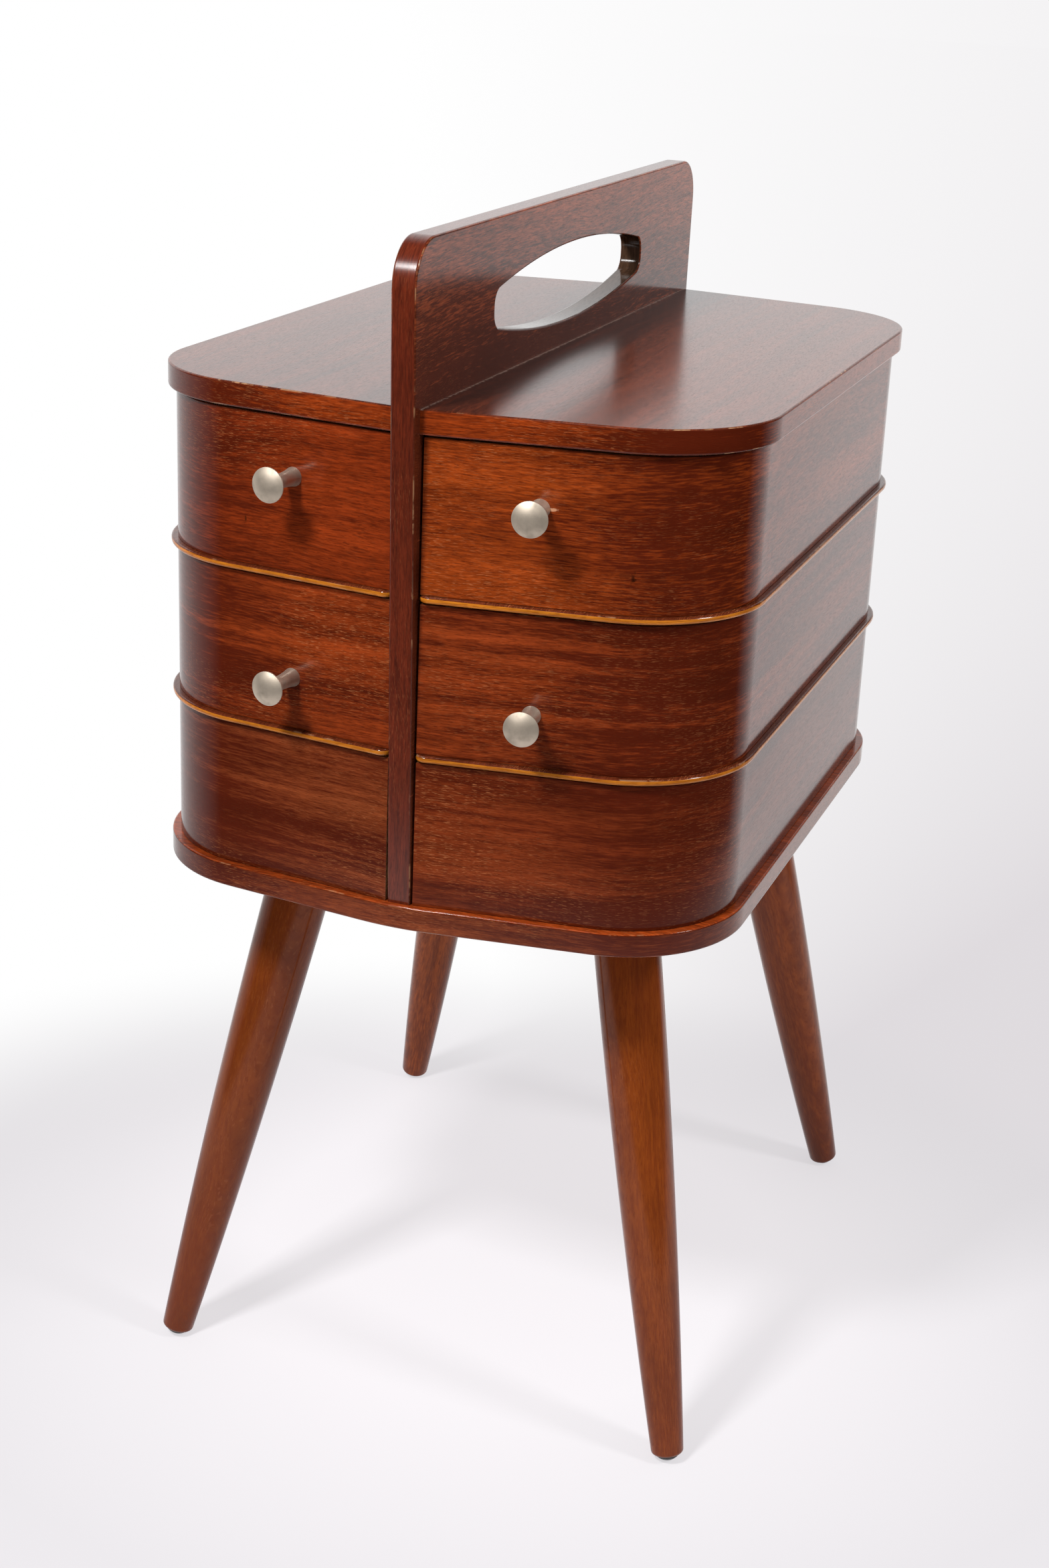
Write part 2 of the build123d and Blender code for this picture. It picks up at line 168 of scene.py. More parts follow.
def node(tree, kind, inputs=None, **settings):
    """Adds a node. An input is a value or another node's output."""
    added = tree.nodes.new(kind)
    for name, value in settings.items():
        setattr(added, name, value)
    for name, value in (inputs or {}).items():
        if isinstance(value, bpy.types.NodeSocket):
            tree.links.new(value, added.inputs[name])
        else:
            added.inputs[name].default_value = value
    return added


def node_group(name, inputs, outputs):
    """Starts a node group with named sockets and returns its tree and its two ends."""
    tree = bpy.data.node_groups.new(name, "ShaderNodeTree")
    for label, (kind, value) in inputs.items():
        socket = tree.interface.new_socket(label, in_out="INPUT", socket_type=kind)
        if value is not None:
            socket.default_value = value
    for label, kind in outputs.items():
        tree.interface.new_socket(label, in_out="OUTPUT", socket_type=kind)
    return tree, tree.nodes.new("NodeGroupInput"), tree.nodes.new("NodeGroupOutput")


def stretched_noise(tree, vector, scale, detail=2.0, distortion=0.0):
    """Noise drawn out along the grain: scale is features per metre on each axis."""
    drawn = node(tree, "ShaderNodeVectorMath", {0: vector, 1: scale}, operation="MULTIPLY")
    noise = node(
        tree,
        "ShaderNodeTexNoise",
        {"Vector": drawn.outputs[0], "Scale": 1.0, "Detail": detail, "Distortion": distortion},
    )
    return noise.outputs[0]


def mapped(tree, value, low, high, to_low=0.0, to_high=1.0):
    """Stretches a value's range and clamps it."""
    inputs = {0: value, 1: low, 2: high, 3: to_low, 4: to_high}
    return node(tree, "ShaderNodeMapRange", inputs).outputs[0]


def maths(tree, operation, *values):
    """One maths node."""
    return node(tree, "ShaderNodeMath", dict(enumerate(values)), operation=operation).outputs[0]


def blended(tree, factor, first, second, mode="MIX"):
    """One colour mix."""
    inputs = {0: factor, 6: first, 7: second}
    return node(tree, "ShaderNodeMix", inputs, data_type="RGBA", blend_type=mode).outputs[2]


# The figure of sliced veneer, in coordinates with the grain along X and Y and across along Z:
# wide bands, narrow stripes, fibre, open pores that hold stain, and pale glints, a painted
# highlight for the light caught in the pores. Worn crests are chipped to bare wood. A pitch is
# features per metre on each axis.
wander_pitch = (6, 6, 9)
wander_reach = 0.007
band_pitch = (2, 2, 34)
band_swirl = 0.3
stripe_pitch = (6, 6, 260)
fibre_pitch = (110, 110, 1250)
fibre_weight = 0.6
pore_pitch = (240, 240, 3000)
pore_stain = 0.6
pore_glint_pitch = (280, 280, 3900)
pore_glint_colour = (0.56, 0.21, 0.075, 1)
mottle_pitch = (16, 16, 90)
patch_pitch = (11, 11, 24)
chip_pitch = (110, 110, 110)
knock_pitch = (23, 23, 23)
chipped_wood = (0.38, 0.2, 0.1, 1)
figure, given, result = node_group(
    "Veneer figure",
    {
        "Vector": ("NodeSocketVector", None),
        "Dark": ("NodeSocketColor", (0.05, 0.01, 0.004, 1)),
        "Light": ("NodeSocketColor", (0.3, 0.07, 0.02, 1)),
        "Bands": ("NodeSocketFloat", 0.5),
        "Stripes": ("NodeSocketFloat", 0.3),
        "Glints": ("NodeSocketFloat", 0.3),
        "Wear": ("NodeSocketFloat", 0.0),
        "Shade": ("NodeSocketFloat", 0.0),
    },
    {
        "Color": "NodeSocketColor",
        "Roughness": "NodeSocketFloat",
        "Lacquer": "NodeSocketFloat",
        "Height": "NodeSocketFloat",
    },
)
straight = given.outputs["Vector"]
wander = mapped(figure, stretched_noise(figure, straight, wander_pitch), 0, 1, -1, 1)
wander = maths(figure, "MULTIPLY", wander, wander_reach)
drift = node(figure, "ShaderNodeCombineXYZ", {"Z": wander}).outputs[0]
flow = node(figure, "ShaderNodeVectorMath", {0: straight, 1: drift}, operation="ADD").outputs[0]
bands = mapped(figure, stretched_noise(figure, flow, band_pitch, 3, band_swirl), 0.32, 0.68)
stripes = mapped(figure, stretched_noise(figure, flow, stripe_pitch, 4), 0.34, 0.66)
fibre = mapped(figure, stretched_noise(figure, flow, fibre_pitch, 5), 0.32, 0.68)
pores = mapped(figure, stretched_noise(figure, flow, pore_pitch, 1), 0.58, 0.66)
glints = mapped(figure, stretched_noise(figure, flow, pore_glint_pitch, 1), 0.61, 0.68)
mottle = mapped(figure, stretched_noise(figure, flow, mottle_pitch, 5), 0.3, 0.7, 0.85, 1.15)
patches = mapped(figure, stretched_noise(figure, flow, patch_pitch, 3), 0.45, 0.6, 0.12, 1.0)
shade = 0.0
for pattern, weight in (
    (bands, given.outputs["Bands"]),
    (stripes, given.outputs["Stripes"]),
    (fibre, fibre_weight),
):
    centred = mapped(figure, pattern, 0, 1, -0.5, 0.5)
    shade = maths(figure, "MULTIPLY_ADD", centred, weight, shade)
# Shade pulls the figure towards Dark and, through unshaded below, takes out the glints. It carries
# the darkening that the materials ask for, most of it painted shade.
shade = maths(figure, "SUBTRACT", shade, given.outputs["Shade"])
shade = mapped(figure, shade, -0.5, 0.5)
tone = blended(figure, shade, given.outputs["Dark"], given.outputs["Light"])
tone = blended(figure, 1.0, tone, mottle, "MULTIPLY")
tone = blended(figure, maths(figure, "MULTIPLY", pores, pore_stain), tone, given.outputs["Dark"])
unshaded = maths(figure, "SUBTRACT", 1.0, given.outputs["Shade"])
patches = maths(figure, "MULTIPLY", patches, unshaded)
# Glints: pale dashes painted as highlights of the light caught in the pores.
glints = maths(figure, "MULTIPLY", glints, given.outputs["Glints"])
tone = blended(figure, maths(figure, "MULTIPLY", glints, patches), tone, pore_glint_colour)
chips = mapped(figure, stretched_noise(figure, straight, chip_pitch, 6), 0.52, 0.58)
knocks = mapped(figure, stretched_noise(figure, straight, knock_pitch, 2), 0.53, 0.6)
chips = maths(figure, "MULTIPLY", maths(figure, "MULTIPLY", chips, knocks), given.outputs["Wear"])
tone = blended(figure, chips, tone, chipped_wood)
gloss = mapped(figure, fibre, 0, 1, 0.45, 0.6)
gloss = maths(figure, "MULTIPLY_ADD", pores, 0.12, gloss)
gloss = maths(figure, "MULTIPLY_ADD", chips, 0.2, gloss)
cover = maths(figure, "MULTIPLY_ADD", pores, -0.14, mapped(figure, fibre, 0, 1, 0.95, 1.0))
relief = maths(figure, "MULTIPLY_ADD", pores, -1.0, maths(figure, "MULTIPLY", fibre, 0.35))
figure.links.new(tone, result.inputs["Color"])
figure.links.new(gloss, result.inputs["Roughness"])
figure.links.new(cover, result.inputs["Lacquer"])
figure.links.new(relief, result.inputs["Height"])
pore_depth = 0.00004


def veneer(name, dark, light, turn=(0, 0, 0), shift=(0, 0, 0), bands=0.5, stripes=0.3,
           glints=0.34, wear=0.5, lacquer=0.14, depth=1.36):
    """Lacquered veneer. turn brings the width of the grain to Z, shift picks another leaf.
    lacquer is how rough its lacquer lies, and depth how strongly the lacquer mirrors."""
    material = bpy.data.materials.new(name)
    material.use_nodes = True
    tree = material.node_tree
    place = node(tree, "ShaderNodeTexCoord").outputs["Object"]
    grain = node(
        tree, "ShaderNodeMapping", {"Vector": place, "Location": shift, "Rotation": turn}
    )
    worn = node(tree, "ShaderNodeAttribute", attribute_name="wear")
    wood = tree.nodes.new("ShaderNodeGroup")
    wood.node_tree = figure
    tree.links.new(grain.outputs[0], wood.inputs["Vector"])
    tree.links.new(maths(tree, "MULTIPLY", worn.outputs["Fac"], wear), wood.inputs["Wear"])
    wood.inputs["Dark"].default_value = (*dark, 1)
    wood.inputs["Light"].default_value = (*light, 1)
    wood.inputs["Bands"].default_value = bands
    wood.inputs["Stripes"].default_value = stripes
    wood.inputs["Glints"].default_value = glints
    surface = tree.nodes["Principled BSDF"]
    bump = node(
        tree,
        "ShaderNodeBump",
        {"Height": wood.outputs["Height"], "Distance": pore_depth, "Strength": 1.0},
    )
    tree.links.new(wood.outputs["Color"], surface.inputs["Base Color"])
    tree.links.new(wood.outputs["Roughness"], surface.inputs["Roughness"])
    tree.links.new(wood.outputs["Lacquer"], surface.inputs["Coat Weight"])
    tree.links.new(bump.outputs[0], surface.inputs["Normal"])
    surface.inputs["Specular IOR Level"].default_value = 0.0
    surface.inputs["Coat Roughness"].default_value = lacquer
    surface.inputs["Coat IOR"].default_value = depth
    return material


def darken_by_ramps(material, amount, *ramps):
    """Darkens the colour towards its dark tone where every ramp has run to its end, on top of any
    darkening already there; most calls use it as painted shade. A ramp is 0 for distance from
    the middle plane, 1 for depth from front to back or 2 for height, and its start and its end."""
    tree = material.node_tree
    place = node(tree, "ShaderNodeTexCoord").outputs["Object"]
    apart = node(tree, "ShaderNodeSeparateXYZ", {0: place}).outputs
    measures = (maths(tree, "ABSOLUTE", apart[0]), apart[1], apart[2])
    wood = next(part for part in tree.nodes if part.type == "GROUP")
    for axis, start, end in ramps:
        amount = maths(tree, "MULTIPLY", mapped(tree, measures[axis], start, end), amount)
    for link in wood.inputs["Shade"].links:
        amount = maths(tree, "ADD", link.from_socket, amount)
    tree.links.new(amount, wood.inputs["Shade"])


def mark(material, centre, spread, colour):
    """A small uneven spot, such as a knot, a chip or a scratch, drawn out along each axis."""
    tree = material.node_tree
    place = node(tree, "ShaderNodeTexCoord").outputs["Object"]
    ragged = mapped(tree, stretched_noise(tree, place, (400, 400, 400), 3), 0.3, 0.7, -0.45, 0.45)
    off = node(tree, "ShaderNodeVectorMath", {0: place, 1: centre}, operation="SUBTRACT").outputs[0]
    off = node(tree, "ShaderNodeVectorMath", {0: off, 1: spread}, operation="DIVIDE").outputs[0]
    reach = node(tree, "ShaderNodeVectorMath", {0: off}, operation="LENGTH").outputs["Value"]
    spot = mapped(tree, maths(tree, "ADD", reach, ragged), 0.45, 1.0, 1, 0)
    colour_socket = tree.nodes["Principled BSDF"].inputs["Base Color"]
    below = colour_socket.links[0].from_socket
    tree.links.new(blended(tree, spot, below, (*colour, 1)), colour_socket)


veneer_dark = (0.065, 0.0078, 0.002)
veneer_light = (0.4, 0.062, 0.0085)
ACROSS_X = (0, pi / 2, 0)
ACROSS_Y = (pi / 2, 0, 0)
base_face_veneer = veneer("Base face veneer", veneer_dark, veneer_light, ACROSS_Y, (0.3, 0, 0.1))
base_edge_light = (0.21, 0.042, 0.009)
base_edge_veneer = veneer(
    "Base edge veneer", veneer_dark, base_edge_light, shift=(0.7, 0, 0.02)
)
# Painted shade: the edge band is darker towards the front corners, where the light falls away round
# the bends.
darken_by_ramps(base_edge_veneer, 0.5, (0, 0.03, 0.12), (1, -0.1, -0.165))
base_half_width = tray_half_width + base_overhang
base_half_depth = tray_half_depth + base_overhang / end_cosine
base_corner_y = base_half_depth - base_half_width * end_slope
bm = bmesh.new()
base_corners = [
    Vector((0, -base_half_depth, base_bottom)),
    Vector((base_half_width, -base_corner_y, base_bottom)),
    Vector((base_half_width, base_corner_y, base_bottom)),
    Vector((0, base_half_depth, base_bottom)),
    Vector((-base_half_width, base_corner_y, base_bottom)),
    Vector((-base_half_width, -base_corner_y, base_bottom)),
]
base_corner_radius = tray_corner_radius + base_overhang
base_radii = (base_apex_radius, base_corner_radius, base_corner_radius) * 2
outline = rounded_face(bm, base_corners, base_radii)
thicken(bm, [outline], UP * (base_top - base_bottom))
soften(bm, rim_edges(bm), base_arris)
lip_edges(bm)
base_piece = new_piece("veneered_base_board", bm, base_face_veneer, base_edge_veneer)
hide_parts("base_board")
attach(base_piece, "carcass")

# Leg blocks: squares of the leg wood, screwed up under the base, with their lower faces
# planed square to the splayed legs. Two countersunk steel screws hold each of them.
leg_dark = (0.13, 0.024, 0.005)
leg_light = (0.25, 0.055, 0.0075)
# Each leg's own tone, except that the rear left leg's is raised as painted light, for the light the
# floor throws up under the box.
leg_tone_and_bounce = {"front left": 0.72, "front right": 0.86, "rear left": 1.4, "rear right": 1.0}
block_wood = veneer("Leg block wood", leg_dark, leg_light, ACROSS_Y, (0.2, 0.4, 0), bands=0.3)
brush_spread = 0.03
brush_depth = 0.00001
tarnish_pitch = (160, 160, 160)
tarnish_tone = 0.72
tarnish_roughness = 0.12


def metal(name, colour, roughness, brush_pitch=(900, 900, 900)):
    """Worked metal, its tone and gloss broken by fine marks and a few dull patches."""
    material = bpy.data.materials.new(name)
    material.use_nodes = True
    tree = material.node_tree
    place = node(tree, "ShaderNodeTexCoord").outputs["Object"]
    marks = stretched_noise(tree, place, brush_pitch, 3)
    tarnish = mapped(tree, stretched_noise(tree, place, tarnish_pitch, 3), 0.45, 0.75)
    surface = tree.nodes["Principled BSDF"]
    surface.inputs["Metallic"].default_value = 1.0
    dull = tuple(tarnish_tone * channel for channel in colour)
    tone = blended(tree, tarnish, (*colour, 1), (*dull, 1))
    tree.links.new(tone, surface.inputs["Base Color"])
    gloss = mapped(tree, marks, 0.3, 0.7, roughness - brush_spread, roughness + brush_spread)
    gloss = maths(tree, "MULTIPLY_ADD", tarnish, tarnish_roughness, gloss)
    tree.links.new(gloss, surface.inputs["Roughness"])
    bump = node(
        tree, "ShaderNodeBump", {"Height": marks, "Distance": brush_depth, "Strength": 1.0}
    )
    tree.links.new(bump.outputs[0], surface.inputs["Normal"])
    return material


screw_steel = metal("Screw steel", (0.42, 0.4, 0.37), 0.38)
for end in ("front", "rear"):
    for side in ("left", "right"):
        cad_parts[f"leg_block_{end}_{side}"].material_slots[0].material = block_wood
for name in ("leg_block_screws", "panel_screws"):
    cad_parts[name].material_slots[0].material = screw_steel

# Legs: turned from solid wood, full at the top and drawn in to a small rounded foot. Each has
# a spigot glued into its block, and leans outwards to its corner.
leg_axis = {
    "front": (0.0875, 0.1140, 0.1465, 0.1647),
    "rear": (0.0875, 0.1220, 0.1465, 0.1821),
}
leg_leaf = {"front": 0.5, "rear": 0.4, "left": 0.28, "right": 0.35}
leg_shoulder_round = 0.0006
leg_top_radius = 0.0174
leg_middle_radius = 0.0148
leg_foot_radius = 0.0087
leg_end_round = 0.0022
spigot_radius = 0.008
spigot_length = 0.012
block_thickness = 0.017
glide_radius = 0.006
glide_rim = 0.001
glide_dome_radius = 0.008
glide_wear = 0.0002
turning_steps = 64


def line_to(bm, start, place):
    """Draws an edge on from a point and returns its far end."""
    end = bm.verts.new(place)
    bm.edges.new((start, end))
    return end


def arc_to(bm, start, through, place, steps=12):
    """Draws an arc on from a point, through another, by a spin about its centre."""
    first = Vector(through) - start.co
    second = Vector(place) - start.co
    axis = first.cross(second)
    to_centre = second.length_squared * axis.cross(first)
    to_centre += first.length_squared * second.cross(axis)
    centre = start.co + to_centre / (2 * axis.length_squared)
    angle = (start.co - centre).angle(Vector(place) - centre)
    spun = bmesh.ops.spin(
        bm, geom=[start], cent=centre, axis=axis.normalized(), angle=angle, steps=steps,
        use_duplicate=False,
    )
    return next(part for part in spun["geom_last"] if isinstance(part, bmesh.types.BMVert))


def turn_on_lathe(bm):
    """Spins a profile in the XZ plane about Z, closes its poles and turns its faces out."""
    profile = bm.verts[:] + bm.edges[:]
    bmesh.ops.spin(
        bm, geom=profile, cent=(0, 0, 0), axis=UP, angle=2 * pi, steps=turning_steps,
        use_merge=True, use_duplicate=False,
    )
    bmesh.ops.remove_doubles(bm, verts=bm.verts, dist=1e-7)
    bmesh.ops.recalc_face_normals(bm, faces=bm.faces)


def leg_frame(end, side):
    """The leg's own axes: its origin under the base and Z down its length."""
    x_sign = 1 if side == "right" else -1
    y_sign = -1 if end == "front" else 1
    top_x, top_y, foot_x, foot_y = leg_axis[end]
    top = Vector((x_sign * top_x, y_sign * top_y, base_bottom))
    foot = Vector((x_sign * foot_x, y_sign * foot_y, 0))
    down = (foot - top).normalized()
    level = down.cross(UP).normalized()
    axes = Matrix((level, down.cross(level), down)).transposed().to_4x4()
    return Matrix.Translation(top) @ axes


glide_black = bpy.data.materials.new("Glide plastic")
glide_black.use_nodes = True
tree = glide_black.node_tree
scuff_pitch = (700, 700, 700)
glide_colour = (0.012, 0.011, 0.01, 1)
scuffed_colour = (0.09, 0.08, 0.07, 1)
place = node(tree, "ShaderNodeTexCoord").outputs["Object"]
scuffs = stretched_noise(tree, place, scuff_pitch, 4)
tone = blended(tree, mapped(tree, scuffs, 0.5, 0.75), glide_colour, scuffed_colour)
tree.links.new(tone, tree.nodes["Principled BSDF"].inputs["Base Color"])
gloss = mapped(tree, scuffs, 0.4, 0.7, 0.35, 0.65)
tree.links.new(gloss, tree.nodes["Principled BSDF"].inputs["Roughness"])

for end in ("front", "rear"):
    for side in ("left", "right"):
        seat = leg_frame(end, side)
        down = seat.to_3x3() @ UP
        dome_centre = (base_bottom - glide_dome_radius + glide_wear) / -down.z
        cap_height = glide_dome_radius - (glide_dome_radius**2 - glide_radius**2) ** 0.5
        glide_top = dome_centre + glide_dome_radius - cap_height - glide_rim
        grain_turn = (Matrix.Rotation(pi / 2, 3, "Y") @ seat.to_3x3().inverted()).to_euler()
        leg_wood = veneer(
            f"Leg wood {end} {side}", leg_dark,
            tuple(leg_tone_and_bounce[f"{end} {side}"] * Vector(leg_light)), tuple(grain_turn),
            (leg_leaf[end], leg_leaf[side], 0), bands=0.3, glints=0.08, depth=1.31,
        )
        # The legs are darker towards their feet.
        darken_by_ramps(leg_wood, 0.35, (2, 0.15, 0.02))
        bm = bmesh.new()
        point = bm.verts.new((0, 0, block_thickness - spigot_length))
        point = line_to(bm, point, (spigot_radius, 0, block_thickness - spigot_length))
        point = line_to(bm, point, (spigot_radius, 0, block_thickness))
        point = line_to(bm, point, (leg_top_radius - leg_shoulder_round, 0, block_thickness))
        point = line_to(bm, point, (leg_top_radius, 0, block_thickness + leg_shoulder_round))
        middle = (leg_middle_radius, 0, (block_thickness + glide_top) / 2)
        point = arc_to(bm, point, middle, (leg_foot_radius, 0, glide_top - leg_end_round), 24)
        inner = leg_end_round * (1 - cos(pi / 4))
        through = (leg_foot_radius - inner, 0, glide_top - inner)
        point = arc_to(bm, point, through, (leg_foot_radius - leg_end_round, 0, glide_top), 5)
        line_to(bm, point, (0, 0, glide_top))
        turn_on_lathe(bm)
        bmesh.ops.transform(bm, matrix=seat, verts=bm.verts)
        leg = new_piece(f"turned_leg_{end}_{side}", bm, leg_wood)
        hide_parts(f"leg_{end}_{side}")
        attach(leg, "carcass")

        bm = bmesh.new()
        point = bm.verts.new((0, 0, glide_top))
        point = line_to(bm, point, (glide_radius, 0, glide_top))
        point = line_to(bm, point, (glide_radius, 0, glide_top + glide_rim))
        half_turn = atan2(glide_radius, glide_dome_radius - cap_height) / 2
        dome_height = dome_centre + glide_dome_radius * cos(half_turn)
        through = (glide_dome_radius * sin(half_turn), 0, dome_height)
        arc_to(bm, point, through, (0, 0, dome_centre + glide_dome_radius), 8)
        turn_on_lathe(bm)
        bmesh.ops.transform(bm, matrix=seat, verts=bm.verts)
        bmesh.ops.bisect_plane(
            bm, geom=bm.verts[:] + bm.edges[:] + bm.faces[:], plane_co=(0, 0, 0), plane_no=-UP,
            clear_outer=True,
        )
        bmesh.ops.holes_fill(bm, edges=[edge for edge in bm.edges if edge.is_boundary])
        glide = new_piece(f"domed_glide_{end}_{side}", bm, glide_black)
        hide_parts(f"glide_{end}_{side}")
        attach(glide, "carcass")

# Centre panel: a board on edge, screwed up through the base. It rises above the lids and is
# sawn through as a carrying handle. Its faces and its edges have veneer of their own.
panel_face = 0.006
panel_foot_half = 0.2027
panel_top_half = 0.2143
panel_corner_radius = 0.022
panel_arris = 0.001
hand_hole_half = 0.114
hand_hole_half_height = 0.01875
hand_hole_end_half = 0.0085
hand_hole_end_radius = 0.0083
hand_hole_arch_radius = 0.58
hand_hole_drop = 0.044
hand_hole_margin = (0.003, 0.00625)
panel_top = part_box("centre_panel")[1][2]
hole_z = panel_top - hand_hole_drop
panel_face_veneer = veneer(
    "Panel face veneer", (0.065, 0.012, 0.005), (0.46, 0.095, 0.03), shift=(0, 0.9, 0.35),
    bands=0.15, stripes=0.2, glints=0.25,
)
# Painted shade: the face is darker down towards the lids and below them, and towards the front.
darken_by_ramps(panel_face_veneer, 0.5, (2, 0.62, 0.55))
darken_by_ramps(panel_face_veneer, 0.22, (1, 0.16, -0.12))
panel_edge_veneer = veneer(
    "Panel edge veneer", (0.045, 0.007, 0.003), (0.135, 0.019, 0.006), ACROSS_X, (0, 0.2, 0.5),
    bands=0.3, stripes=0.25, glints=0.12, wear=0.18, lacquer=0.18, depth=1.5,
)
edge_chip = (0.006, -0.2116, 0.4709)
mark(panel_edge_veneer, edge_chip, (0.0012, 0.004, 0.006), (0.4, 0.17, 0.08))
# The inside of the hand hole is near black, much darker than the panel's edges.
hand_hole_dark = veneer(
    "Hand hole dark", (0.018, 0.009, 0.005), (0.07, 0.035, 0.02), ACROSS_X, bands=0.3, glints=0.0
)
edge_lean = (panel_top_half - panel_foot_half) / (panel_top - base_top)
outline_y = panel_foot_half + edge_lean * (hole_z - base_top)
arch_rise = 2 * (hand_hole_half_height - hand_hole_end_half)


def on_panel(y, z):
    """A point of the panel's left face."""
    return Vector((-panel_face, y, z))


bm = bmesh.new()
for sign in (1, -1):
    end_z = hole_z + sign * hand_hole_end_half
    hole_corners = [
        on_panel(-sign * hand_hole_half, hole_z),
        on_panel(-sign * hand_hole_half, end_z),
        on_panel(0, end_z + sign * arch_rise),
        on_panel(sign * hand_hole_half, end_z),
        on_panel(sign * hand_hole_half, hole_z),
    ]
    rim_half = panel_top_half if sign > 0 else panel_foot_half
    rim_z = panel_top if sign > 0 else base_top
    rim_radius = panel_corner_radius if sign > 0 else 0
    rim_corners = [
        on_panel(sign * outline_y, hole_z),
        on_panel(sign * rim_half, rim_z),
        on_panel(-sign * rim_half, rim_z),
        on_panel(-sign * outline_y, hole_z),
    ]
    radii = (0, rim_radius, rim_radius, 0, 0, hand_hole_end_radius, hand_hole_arch_radius,
             hand_hole_end_radius, 0)
    rounded_face(bm, rim_corners + hole_corners, radii, Vector((1, 0, 0)))
bmesh.ops.remove_doubles(bm, verts=bm.verts, dist=1e-6)
thicken(bm, bm.faces[:], Vector((2 * panel_face, 0, 0)))
soften(bm, rim_edges(bm, 0), panel_arris)
for face in bm.faces:
    place = face.calc_center_median()
    beside = hand_hole_half + hand_hole_margin[0] - abs(place.y)
    above = hand_hole_half_height + hand_hole_margin[1] - abs(place.z - hole_z)
    in_hole = min(beside, above) > 0
    face.material_index = 0 if abs(face.normal.x) > 0.4 else 2 if in_hole else 1
panel_piece = new_piece(
    "veneered_centre_panel", bm, panel_face_veneer, panel_edge_veneer, hand_hole_dark
)
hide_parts("centre_panel")
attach(panel_piece, "carcass")

# Tray walls: one strip of veneered plywood for each tray, steamed and bent round the front,
# the outer side and the back. Its ends are glued into rebates of the pivot block.
wall_inner_x = 0.0072
wall_thickness = 0.005
wall_rear_end = 0.0289
wall_arris = 0.0004
tray_bodies = {"lower": "carcass", "middle": "middle_tray", "upper": "upper_tray"}
# Each tray's leaf has its own light tone. The lower trays' tones are darker partly as the leaves'
# own colour and partly as painted shade, for the light falling off down the front of the box.
leaf_and_shade_tones = {
    "upper_right": ((0.335, 0.054, 0.0065), 0.35, 0.2),
    "upper_left": ((0.25, 0.033, 0.005), 0.45, 0.25),
    "middle_right": ((0.265, 0.042, 0.0075), 0.6, 0.5),
    "middle_left": ((0.24, 0.036, 0.006), 0.7, 0.55),
    "lower_right": ((0.18, 0.03, 0.0065), 0.6, 0.55),
    "lower_left": ((0.2, 0.042, 0.011), 0.7, 0.6),
}
leaf_step = (0.37, 0.23, 0.113)
old_knot = (0.02, 0.004, 0.001)
bare_scratch = (0.46, 0.22, 0.12)
blemishes = {
    "upper_right": (
        ((0.1030, -0.1892, 0.4848), (0.0062, 0.01, 0.0018), (0.09, 0.014, 0.003)),
        ((0.1058, -0.1891, 0.4836), (0.0015, 0.01, 0.0030), old_knot),
        ((0.0683, -0.1940, 0.5122), (0.0040, 0.01, 0.0009), bare_scratch),
        ((0.1506, -0.0160, 0.4840), (0.01, 0.0008, 0.0030), old_knot),
    ),
    "upper_left": (((-0.0887, -0.1913, 0.4883), (0.0006, 0.01, 0.0020), (0.06, 0.01, 0.002)),),
    "middle_right": (((0.1506, -0.1060, 0.4480), (0.01, 0.001, 0.0016), old_knot),),
}
ply_edge = veneer("Plywood edge", (0.14, 0.05, 0.018), (0.42, 0.19, 0.07), bands=0.3, glints=0.0)
inside_ply = veneer(
    "Tray inside veneer", (0.25, 0.11, 0.045), (0.62, 0.36, 0.18), bands=0.3, stripes=0.25,
    glints=0.1,
)


def body_of(tier, side):
    """The body that a tray's pieces ride on."""
    return tray_bodies[tier] if tier == "lower" else f"{tray_bodies[tier]}_{side}"


for index, (tray, (light, bands, stripes)) in enumerate(leaf_and_shade_tones.items()):
    tier, side = tray.split("_")
    sign = 1 if side == "right" else -1
    low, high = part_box(f"{tier}_tray_wall_{side}")
    outside = side_corners(sign, low[2], wall_inner_x, tray_half_width, tray_half_depth)
    inside = side_corners(
        sign, low[2], wall_inner_x, tray_half_width - wall_thickness,
        tray_half_depth - wall_thickness / end_cosine,
    )
    for corners in (outside, inside):
        rise = (wall_rear_end - wall_inner_x) * end_slope
        corners[3] += Vector((sign * (wall_rear_end - wall_inner_x), -rise, 0))
    inside.reverse()
    inner_radius = tray_corner_radius - wall_thickness
    radii = (0, tray_corner_radius, tray_corner_radius, 0, 0, inner_radius, inner_radius, 0)
    bm = bmesh.new()
    outline = rounded_face(bm, outside + inside, radii, UP * sign)
    thicken(bm, [outline], UP * (high[2] - low[2]))
    soften(bm, rim_edges(bm), wall_arris, 2)
    for face in bm.faces:
        place = face.calc_center_median()
        outwards = face.normal.dot(Vector((place.x, place.y, 0))) > 0
        face.material_index = 1 if abs(face.normal.z) > 0.95 else 0 if outwards else 2
    leaf = veneer(
        f"Bent veneer {tier} {side}", veneer_dark, light,
        shift=tuple(index * step for step in leaf_step), bands=bands, stripes=stripes,
    )
    # Painted shade: each wall is darker round its front bend, where the light falls away. The
    # second ramp darkens the outer side a little.
    darken_by_ramps(leaf, 0.5, (0, 0.055, 0.12), (1, -0.12, -0.165))
    darken_by_ramps(leaf, 0.25, (0, 0.14, 0.149), (1, -0.165, -0.12))
    for centre, spread, colour in blemishes.get(tray, ()):
        mark(leaf, centre, spread, colour)
    wall = new_piece(f"bent_wall_{tier}_{side}", bm, leaf, ply_edge, inside_ply)
    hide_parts(f"{tier}_tray_wall_{side}")
    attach(wall, body_of(tier, side))

